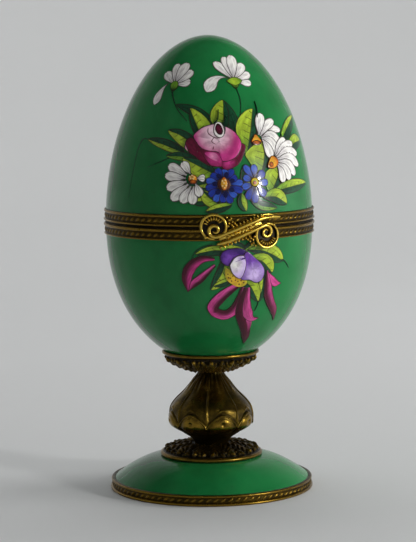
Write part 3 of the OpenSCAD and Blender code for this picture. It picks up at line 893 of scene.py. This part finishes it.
def rose():
    """A pink rose: maroon petals at its left, right and foot, a body that goes from blush above to deep
    pink below, thin creases, and a dark bud inside a pale ring."""
    p = Painting(-11, 23, 0.3)
    for centre, places in (((-22.6, 21.2), [(-29.9, 24.2), (-27.2, 25.2), (-24.0, 24.4), (-21.4, 22.6),
                                            (-17, 21.2), (-14, 19.4), (-12.5, 17.1), (-16, 17.3),
                                            (-20.2, 18.4), (-24, 19.8), (-28, 21.2), (-29.9, 22.6)]),
                           ((2.4, 20.4), [(2.8, 23.4), (5.9, 22.7), (4.8, 20.6), (1.6, 18.0), (-1.4, 17.0),
                                          (-1.6, 19.2), (0.8, 21.2)])):
        p.blob(centre, places, (MAROON, MAROON), 0.03)
    p.blob((-12.5, 19), [(-21, 21.8), (-16.4, 21.6), (-9, 20.9), (-6, 19.1), (-4, 17), (-11.1, 16.9),
                         (-16.1, 17.7)], (ROSE, MAROON), 0.03, gather=(0, 0.4))
    p.blob((-4, 17.7), [(-0.6, 19.4), (1.0, 17.8), (-2.4, 16.6), (-6.0, 16.0), (-9, 16.6), (-9, 18.6),
                        (-3.4, 19.2)], (ROSE, MAROON), 0.03, gather=(-0.6, 0.3))
    p.blob((-13.4, 19.8), [(-18.4, 20.9), (-13, 20.9), (-10.4, 19.8), (-9.6, 18.2), (-12.6, 18.7),
                           (-16, 19.6)], (PINK, ROSE), 0.01, outline=False)
    p.blade([(-27.9, 21.2), (-29.3, 22.2), (-29.9, 23.4)], 0.8, (CREAM, PINK), 0.5, 0.6)
    p.blob((-10, 24), [(-25.4, 25.6), (-22.3, 27.2), (-17.5, 28.4), (-10.5, 28.9), (-4.2, 27.9), (0, 26.6),
                       (2.9, 24.6), (3.4, 22.6), (0.8, 20.2), (-3, 18.8), (-7.9, 18.3), (-9.4, 19.4),
                       (-11, 20.9), (-16.4, 21.4), (-20.4, 22.1), (-23.2, 23.6)], (BLUSH, ROSE), 0.12,
           gather=(-1.0, 2.0))
    for line in ([(-12.8, 25.2), (-14.3, 24.0), (-12.2, 23.2)], [(-13.2, 22.6), (-13.8, 21.7)],
                 [(-16.4, 27.6), (-16.2, 26.2), (-12.4, 25.0), (-9.4, 24.9)]):
        p.stroke(line, [0.16, 0.24, 0.14], (MAROON, MAROON))
    p.blob((-9.8, 27.2), [(-13.3, 27.4), (-11.6, 29.2), (-8.4, 29.2), (-6.3, 27.4), (-7, 25.5),
                          (-9.8, 24.9), (-12.5, 25.7)], (BLUSH, WHITE), 0.08)
    p.blob((-9.6, 27.2), [(-12.1, 27.7), (-10.8, 28.8), (-8.8, 28.5), (-7.4, 27.0), (-8.1, 25.9),
                          (-10.0, 25.8), (-11.6, 26.6)], (MAROON, CHERRY), 0.04)
    for line in ([(-12.8, 28.9), (-10.2, 30.2), (-9.4, 32.8)], [(-6.6, 28.6), (-5.6, 29.6), (-4.0, 31.2)],
                 [(-7.0, 29.2), (-6.0, 27.6), (-6.4, 26.0)]):
        p.stroke(line, [0.34, 0.28, 0.16], (DEEP, DEEP))
    p.finish("painted_rose", "lid")


def left_daisy():
    """A white daisy at the left under the rose."""
    p = Painting(-27, 13, 0.3)
    daisy_petals(p, [([(-26.5, 15.2), (-31.4, 18.6)], 0.95), ([(-28.5, 14.8), (-39.6, 17.6)], 1.05),
                     ([(-29, 13.9), (-41.4, 14.6)], 1.0), ([(-28.5, 13.0), (-40, 10.9)], 1.05),
                     ([(-27.5, 12.2), (-37, 7.6)], 1.1), ([(-26, 11.6), (-31.2, 6.8)], 1.05),
                     ([(-24.4, 11.6), (-25.2, 6.4)], 1.0), ([(-22.6, 13.9), (-17.8, 13.9)], 0.8),
                     ([(-23.4, 12.4), (-20.5, 8.6)], 0.9)], 3.0)
    p.dot((-25.0, 13.6), 1.35, (GOLD, AMBER), 0.25)
    p.blob((-24.6, 12.9), [(-27, 13.0), (-24.8, 13.6), (-22.6, 13.0), (-23.4, 12.3), (-26, 12.3)],
           (AMBER, BROWN), 0.08)
    p.stamens([(-26.4, 14.3), (-25.2, 14.6), (-24, 14.2), (-25.8, 13.8), (-24.5, 13.7)])
    p.finish("painted_daisy_left", "lid")


def blue_flowers():
    """A many-petalled blue flower with an oval yellow centre, and a smaller one to its right."""
    p = Painting(-8, 12, 0.3)
    girth = 29.6
    turn = np.radians(np.arange(14) * 360 / 14 + 8)

    def out(middle, wide, high, a):
        return -8.2 + np.degrees(wide * np.cos(a) / girth), middle + high * np.sin(a)

    for k, a in enumerate(turn):
        reach = 5.1 + 0.6 * np.sin(3 * k + 1)
        petal = [out(12.0, 1.2, 1.6, a), out(11.7, reach * 1.04, reach, a)]
        p.blade(petal, 2.35, (NAVY, BLUE if k % 3 else SKY), 0.68, 0.45, tip=0.2, foot=0.35)
    for a in turn[::2] + 0.22:
        p.blade([out(12.0, 1.3, 1.7, a), out(12.0, 3.3, 3.7, a)], 1.3, (NAVY, NAVY), 0.6, 0.6,
                outline=False)
    p.dot((-8.2, 12.1), 1.9, (BROWN, BROWN), 0.1)
    p.blob((-8.2, 12.2), [(-10.4, 12.2), (-9.6, 13.6), (-8.2, 14.2), (-6.8, 13.6), (-6.1, 12.2),
                          (-6.9, 10.8), (-8.2, 10.3), (-9.5, 10.8)], (GOLD, AMBER), 0.25)
    p.stamens([(-9, 13), (-7.6, 13.2), (-8.3, 12.4), (-9.1, 11.6), (-7.4, 11.7), (-8.2, 11.1)], 0.24)
    p.finish("painted_blue_flower", "lid")
    p = Painting(9, 12, 0.3)
    for foot, tip, wide in (
        ((9, 13.4), (3.6, 17.4), 1.0), ((8, 12.8), (2.6, 14.2), 1.0), ((8, 12), (1.6, 11), 1.0),
        ((8.4, 11.4), (4.2, 7.6), 1.1), ((9.4, 11), (9, 6.4), 1.1), ((10.6, 11.4), (15.8, 8.4), 1.1),
        ((11, 12.4), (18, 12.2), 1.0), ((10.6, 13.4), (16.2, 15.4), 1.1), ((9.6, 13.8), (9.6, 17.6), 1.0),
    ):
        p.blade([foot, tip], 2.3 * wide, (NAVY, BLUE if wide > 1 else SKY), 0.66, 0.45, tip=0.2, foot=0.35)
    p.dot((9.3, 12.5), 1.35, (LIME, GOLD), 0.22)
    p.dot((9.1, 12.3), 0.55, (AMBER, BROWN), 0.1, False)
    p.finish("painted_blue_flower_small", "lid")


def right_daisies():
    """Two white daisies at the right, seen half from the side: petals that bend over and down."""
    p = Painting(22, 25, 0.3)
    daisy_petals(p, (([(18.0, 25.0), (26.4, 27.0), (34.8, 26.6)], 2.5),
                     ([(16.9, 25.3), (22.4, 27.8), (30.5, 29.6)], 3.0),
                     ([(16.0, 25.6), (17.8, 28.4), (21.4, 31.6)], 3.3),
                     ([(17.6, 24.8), (25.4, 25.4), (31.4, 22.0)], 3.4),
                     ([(17.6, 24.6), (23.4, 23.8), (27.0, 20.2)], 3.3),
                     ([(17.8, 24.2), (20.6, 22.0), (22.2, 18.9)], 3.3)), 1.0, 0.12)
    p.blob((13.4, 24.2), [(9.8, 23.5), (11.4, 25.0), (13.4, 25.8), (15.6, 24.9), (17.0, 23.4),
                          (13.2, 22.9)], (GOLD, AMBER), 0.1)
    p.blob((13.2, 23.4), [(10.2, 23.6), (13.2, 24.1), (16.4, 23.5), (15.6, 22.9), (13.2, 22.7),
                          (11.0, 22.9)], (AMBER, BROWN), 0.05)
    p.finish("painted_daisy_upper_right", "lid")
    p = Painting(30, 18, 0.42)
    daisy_petals(p, (([(25.0, 19.8), (29.8, 22.2), (37.0, 24.2)], 3.0),
                     ([(25.4, 19.5), (33.3, 21.8), (44.0, 22.8)], 2.9),
                     ([(26.0, 19.1), (35.6, 20.6), (46.6, 19.6)], 3.2),
                     ([(26.4, 18.6), (37.2, 18.8), (45.4, 16.2)], 3.2),
                     ([(26.4, 18.0), (35.0, 16.9), (40.0, 13.6)], 3.3),
                     ([(26.2, 17.4), (31.6, 15.6), (34.4, 12.4)], 3.3),
                     ([(25.8, 16.9), (28.2, 14.8), (28.4, 11.8)], 3.0)), 1.0, 0.12)
    p.blob((22.0, 17.8), [(18.4, 16.6), (20.0, 18.5), (22.4, 19.6), (25.6, 19.0), (26.8, 17.6),
                          (24.4, 16.3), (21.2, 15.9)], (GOLD, AMBER), 0.12)
    p.dot((21.0, 17.2), 0.75, (AMBER, BROWN), 0.03, False)
    p.finish("painted_daisy_right", "lid")


def lid_leaves():
    """Leaves of the bouquet, and the thin tendrils at its left."""
    p = Painting(-8, 18)
    dull = (MOSS, LEAF)
    p.stroke([(-54, 24.4), (-60, 24.6), (-63, 21), (-64.5, 14), (-66, 8)], [0.34, 0.3, 0.2, 0.14, 0.06],
             (DEEP, MOSS))
    p.stroke([(-38, 19.8), (-45, 18.4), (-53, 16.8)], [0.34, 0.24, 0.1], (DEEP, MOSS))
    p.leaf([(-30, 20.8), (-42.6, 23.0), (-56, 24.6)], 1.5, 2.0, 1, 0.42, (LEAF, LIME))
    p.leaf([(-21, 19.0), (-31.2, 19.9), (-41.6, 20.1)], 1.4, 1.5, 1, 0.45, dull)
    p.leaf([(-23, 22.4), (-32.5, 25.6), (-42, 27.2)], 2.7, 2.0, 1, 0.4)
    p.leaf([(-12, 28.0), (-23.4, 32.0), (-39.2, 34.4)], 1.7, 1.8, 1, 0.42, (DEEP, MOSS))
    p.leaf([(-20, 25.0), (-24.4, 29.2), (-28.8, 33.4)], 4.0, 1.6, -1, 0.34)
    p.leaf([(1.0, 25.0), (-0.6, 30.4), (-5.2, 35.4)], 1.6, 1.7, 1, 0.4, (DEEP, MOSS))
    p.leaf([(-6, 27.4), (-6.0, 31), (-5.4, 35.6)], 4.0, 1.6, 1, 0.4)
    p.leaf([(6, 20.0), (10.6, 26.4), (15.6, 33.0)], 4.8, 2.0, 1, 0.58)
    p.leaf([(13.6, 14.4), (17.4, 18.8), (19.2, 23.8)], 6.4, 1.5, 1, 0.54)
    p.leaf([(33, 23.8), (46, 27.8), (61.0, 30.4)], 1.9, 2.6, 1, 0.45)
    p.leaf([(38, 21.6), (49, 22.8), (58.6, 23.2)], 2.7, 2.1, 1, 0.5)
    p.leaf([(19, 9.0), (24.8, 13.2), (28.4, 16.8)], 4.6, 1.7, 1, 0.5)
    p.leaf([(6, 10), (4.4, 13.4), (4.6, 17.6)], 2.2, 1.6, -1, 0.5)
    p.leaf([(-14, 9.0), (-20, 7.6), (-25.6, 7.4)], 1.2, 1.6, -1, 0.5)
    p.leaf([(22, 9.6), (36, 10.6), (53.4, 11.2)], 2.2, 1.9, 1, 0.42)
    p.leaf([(14, 8.2), (22.5, 8.0), (30.4, 5.8)], 2.7, 1.8, 1, 0.55)
    p.leaf([(6, 8.0), (13, 5.8), (23, 4.9)], 1.3, 1.5, -1, 0.5, (MOSS, LEAF))
    p.leaf([(-12, 14.6), (-21.4, 17.2), (-31.0, 19.5)], 3.4, 1.9, 1, 0.4)
    p.leaf([(-14, 12.9), (-22, 11.9), (-30, 11.3)], 1.7, 1.7, 1, 0.45, (LEAF, LIME))
    p.leaf([(-12, 9.4), (-20, 10.6), (-27.4, 10.8)], 1.4, 0.8, 1, 0.5)
    p.leaf([(-10, 6.2), (-15.6, 8.2), (-20.4, 10.6)], 2.3, 0.9, 1, 0.5)
    p.leaf([(-4, 6.4), (-11, 5.6), (-18, 4.7)], 1.3, 1.5, -1, 0.5)
    p.leaf([(1.4, 9.6), (1.2, 7), (3.6, 4.4)], 1.7, 1.2, 1, 0.5)
    for a, h in ((33, 21), (17.4, 30.4)):
        p.stroke([(a, h), (a + 1.5, h + 2.4), (a + 1.5, h + 4.6)], [0.3, 0.24, 0.12], (DEEP, DEEP))
    p.finish("painted_lid_leaves", "lid")


def pansy():
    """A pansy on the bowl: a purple petal, a white one and a lilac one over a dotted yellow heart."""
    p = Painting(3, -11, 0.24)
    p.blob((-4, -8), [(-10.9, -8.4), (-9, -6.6), (-4, -5.8), (1, -6.0), (4.2, -7.2), (0.6, -9.2),
                      (-3.9, -10), (-6.3, -11), (-9.7, -10)], (PURPLE, VIOLET), 0.08, gather=(-0.6, -0.8))
    p.blob((-1.8, -15), [(-7.8, -11.6), (-4.5, -12.2), (-1.5, -13.0), (2.4, -14.0), (4.8, -15.8),
                         (2.7, -16.9), (-0.8, -16.9), (-4.3, -16.0), (-7.4, -14.4)], (GOLD, OLIVE), 0.03,
           outline=False)
    for a, h in ((-6.4, -13.2), (-5, -14.4), (-3.6, -13.8), (-2, -15), (-4.2, -15.2), (-0.6, -15.4),
                 (1.2, -15.2), (0.2, -16.2), (2.8, -15.8), (-6, -14.2)):
        p.dot((a, h), 0.2, (BROWN, BROWN), 0.02, False)
    p.blob((8, -12), [(3.4, -6.9), (8.3, -8.6), (13.2, -10.8), (15.1, -12.9), (14, -15.3), (10.2, -16.1),
                      (6.2, -15.2), (0.8, -14.6), (0.8, -10)], (LILAC, PURPLE), 0.12, gather=(0.3, -1.7))
    p.blob((-1.4, -11.2), [(-5.4, -10.2), (-2.4, -8.2), (1.8, -7.9), (3.4, -9.6), (3.2, -12.2),
                           (0.6, -14.6), (-3.4, -13.4), (-5.4, -11.6)], (WHITE, LILAC), 0.12,
           gather=(-0.7, 0.6))
    for tip in ((-1.4, -8.9), (0.2, -9.3), (-2.6, -9.6), (1.8, -9.2)):
        bend = tip[0] * 0.5 + 1.5, tip[1] * 0.5 - 4.3
        p.stroke([(2.8, -8.6), bend, tip], [0.18, 0.16, 0.06], (VIOLET, PURPLE))
    p.finish("painted_pansy", "base")


def bowl_leaves():
    """Leaves round the pansy."""
    p = Painting(2, -10)
    p.stroke([(-26.4, -9.4), (-24, -6.8), (-20, -5.4), (-15, -4.8)], [0.14, 0.34, 0.34, 0.2], (DEEP, DEEP))
    p.leaf([(-5, -6.6), (-14, -6.4), (-24, -7.4)], 1.5, 1.7, -1, 0.45)
    p.leaf([(5, -6.8), (-2, -5.2), (-10, -4.9)], 1.3, 1.3, 1, 0.5, (LEAF, LIME))
    p.leaf([(2, -6.8), (8, -5.0), (15, -5.2)], 1.2, 1.4, -1, 0.5)
    p.leaf([(4, -6.4), (15, -7.2), (28.2, -10.4)], 2.9, 2.0, 1, 0.62)
    p.leaf([(5, -8.4), (13.8, -10.2), (21.0, -13.6)], 2.9, 1.5, 1, 0.62)
    p.leaf([(-7.4, -8.4), (-9.6, -12.8), (-15.8, -17.8)], 3.4, 1.7, 1, 0.4)
    p.leaf([(-4, -14.6), (-8, -15.6), (-14.4, -16.6)], 1.1, 1.3, -1, 0.45)
    p.leaf([(14, -11.8), (15.4, -16.2), (14.4, -22.0)], 1.4, 2.4, -1, 0.42)
    p.leaf([(-1, -15.6), (6.4, -16.6), (14.2, -21.8)], 2.6, 2.0, 1, 0.45)
    p.stroke([(27, -9.9), (30.3, -10.8), (33.6, -12.6)], [0.34, 0.28, 0.12], (DEEP, DEEP))
    p.stroke([(14.4, -21.6), (14.2, -23.2), (13.2, -24.6)], [0.3, 0.24, 0.12], (DEEP, DEEP))
    p.finish("painted_bowl_leaves", "base")


def ribbon():
    """A magenta ribbon tied under the pansy, its folds dark: one loop to the left, one in the middle, two
    tails."""
    p = Painting(-5, -18, 0.12)
    pink, fold = (MAGENTA, ROSE), (CHERRY, WINE)
    p.stroke([(-13.4, -10.6), (-17.6, -12.6), (-21.8, -14.6), (-25.4, -16.0), (-28.8, -18.2)],
             [0.9, 1.8, 2.5, 2.4, 0.3], fold, 0.02, True, pink)
    p.stroke([(-13.6, -8.9), (-19.4, -8.8), (-24.4, -10.1), (-27.8, -12.2), (-29.2, -14.8), (-28.9, -18.4)],
             [0.9, 2.1, 3.0, 3.5, 3.0, 0.3], (ROSE, ROSE), 0.02, True, fold)
    p.stroke([(3, -17.2), (1.6, -21.0), (-1.4, -24.0), (-7.0, -25.4), (-13.4, -24.4), (-15.6, -22.8)],
             [1.3, 2.6, 3.2, 3.3, 3.0, 1.6], pink, 0.02, True, fold)
    p.stroke([(0.8, -16.2), (-5.6, -18.2), (-11.2, -20.6), (-14.6, -22.8), (-14.2, -24.6)],
             [1.6, 2.8, 3.4, 3.4, 2.2], fold, 0.02, True, pink)
    p.stroke([(4.6, -17.4), (3.0, -21.2), (2.8, -24.6), (6.4, -27.8), (10.6, -30.4), (12.8, -32.6),
              (14.8, -34.8)], [1.2, 2.2, 2.8, 3.1, 3.1, 2.5, 0.3], (WINE, WINE), 0.02, True,
             (CHERRY, CHERRY))
    p.stroke([(9.6, -25.6), (11.8, -28.4), (13.4, -31.2)], [2.4, 1.5, 0.3], (MAGENTA, WINE), 0.01, False)
    p.stroke([(6.2, -17.4), (6.4, -21.8), (8.6, -25.2), (12.4, -26.9), (17.8, -26.9)],
             [1.2, 2.6, 3.5, 2.1, 0.2], pink, 0.02, True, (WINE, MAGENTA))
    p.stroke([(18.2, -13.6), (21.2, -15.6), (24.4, -16.7), (28.8, -16.9)], [0.8, 2.6, 2.5, 0.2], pink, 0.02,
             True, pink)
    p.stroke([(17.2, -12.8), (18.9, -16.8), (20.6, -19.8), (24.4, -22.6), (29.2, -25.0), (33.6, -28.2)],
             [0.7, 2.6, 3.2, 3.1, 2.7, 0.2], (MAGENTA, WINE), 0.02, True, fold)
    p.finish("painted_ribbon", "base")


# ---------------------------------------------------------------- the object

lid_porcelain()
bowl_porcelain()
foot_porcelain()
bezel("lid_band", "lid", "lid_bezel", 1, 0.3, 0.46, 27.85)
bezel("bowl_band", "base", "bowl_bezel", -1, 0.5, 0.25, 27.62)
foot_bezel()
collar()
knop()
flange()
clasp_half("clasp_upper_scroll", "lid", "clasp_upper", 1, True)
clasp_half("clasp_lower_scroll", "base", "clasp_lower", -1, False)
top_daisies()
lid_leaves()
rose()
left_daisy()
right_daisies()
blue_flowers()
bowl_leaves()
pansy()
ribbon()

for node, finish in (("hinge_lid_leaf", HINGE), ("hinge_bowl_leaf", HINGE), ("lip_ring", HINGE),
                     ("catch_stud", PLAIN), ("hinge_pin", PLAIN), ("tie_bolt", PLAIN),
                     ("bolt_washer", PLAIN), ("nut_washer", PLAIN), ("tie_nut", PLAIN),
                     ("bowl_cushion", LEATHER), ("foot_cushion", LEATHER)):
    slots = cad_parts[node].data.materials
    slots.clear()
    slots.append(finish)

# ---------------------------------------------------------------- room, light and camera


def floor():
    """A wide round floor that curves up into a wall far from the object: flat to 0.5 m, then a quarter
    circle."""
    t = np.linspace(0, np.pi / 2, 32)
    r = np.concatenate([[0, 0.2, 0.35, 0.5], 0.5 + 0.9 * np.sin(t[1:]), [1.4]])
    z = np.concatenate([[0, 0, 0, 0], 0.9 - 0.9 * np.cos(t[1:]), [1.6]])
    room = Solid()
    room.grid(turned(np.stack([r, z], 1) / MM, 96), columns=True)
    f = Finish("pale_floor")
    cloud = f.noise(0.004, 3, 0.5)
    material = f.done(Base_Color=f.mix(cloud, colour(214, 215, 215), colour(208, 209, 209)), Roughness=0.85)
    points = np.concatenate(room.points) * MM
    mesh = bpy.data.meshes.new("floor")
    mesh.from_pydata(points.tolist(), [], room.faces)
    mesh.shade_smooth()
    mesh.materials.append(material)
    piece = bpy.data.objects.new("floor", mesh)
    bpy.context.scene.collection.objects.link(piece)


def light(name, place, aim, size, power, tint):
    """A soft square lamp at a place, facing another."""
    lamp = bpy.data.lights.new(name, "AREA")
    lamp.shape, lamp.size, lamp.size_y = "RECTANGLE", size[0], size[1]
    lamp.energy, lamp.color = power, tint
    piece = bpy.data.objects.new(name, lamp)
    bpy.context.scene.collection.objects.link(piece)
    away = np.array(place) - np.array(aim)
    piece.matrix_world = Matrix.Translation(place) @ Vector(away).to_track_quat("Z",
                                                                                   "Y").to_matrix().to_4x4()
    return piece


floor()
light("window_light", (0.72, -0.8, 0.24), (0, 0, 0.085), (0.07, 0.14), 7.5, (1.0, 0.99, 0.98))
side = light("side_light", (0.95, -0.2, 0.3), (0, 0, 0.07), (0.5, 0.5), 6.6, (1.0, 1.0, 0.99))
back = light("wall_light", (0.1, 0.35, 0.9), (0.2, 1.2, 0.1), (0.8, 0.8), 3.6, (1.0, 1.0, 1.0))
sky = light("sky_light", (0.2, 0.2, 1.2), (0, 0.05, 0.0), (1.0, 1.0), 2.4, (0.98, 0.99, 1.0))
side.visible_glossy = sky.visible_glossy = back.visible_glossy = False

world = bpy.data.worlds.new("room")
world.use_nodes = True
world.node_tree.nodes["Background"].inputs["Color"].default_value = (0.75, 0.77, 0.8, 1)
world.node_tree.nodes["Background"].inputs["Strength"].default_value = 0.06
bpy.context.scene.world = world
bpy.context.scene.view_settings.view_transform = "Standard"

lens = bpy.data.cameras.new("camera")
lens.lens, lens.sensor_width, lens.clip_start = 136.2, 36.0, 0.01
camera = bpy.data.objects.new("camera", lens)
bpy.context.scene.collection.objects.link(camera)
distance, height, aside = 0.6045, 0.1302, -0.0005
turn, tip, roll = np.radians([-16.3, 90 - 6.2, -0.6])
camera.matrix_world = (
    Matrix.Translation((distance * np.sin(turn) + aside, -distance * np.cos(turn), height))
    @ Matrix.Rotation(turn, 4, "Z")
    @ Matrix.Rotation(tip, 4, "X")
    @ Matrix.Rotation(roll, 4, "Z")
)
bpy.context.scene.camera = camera
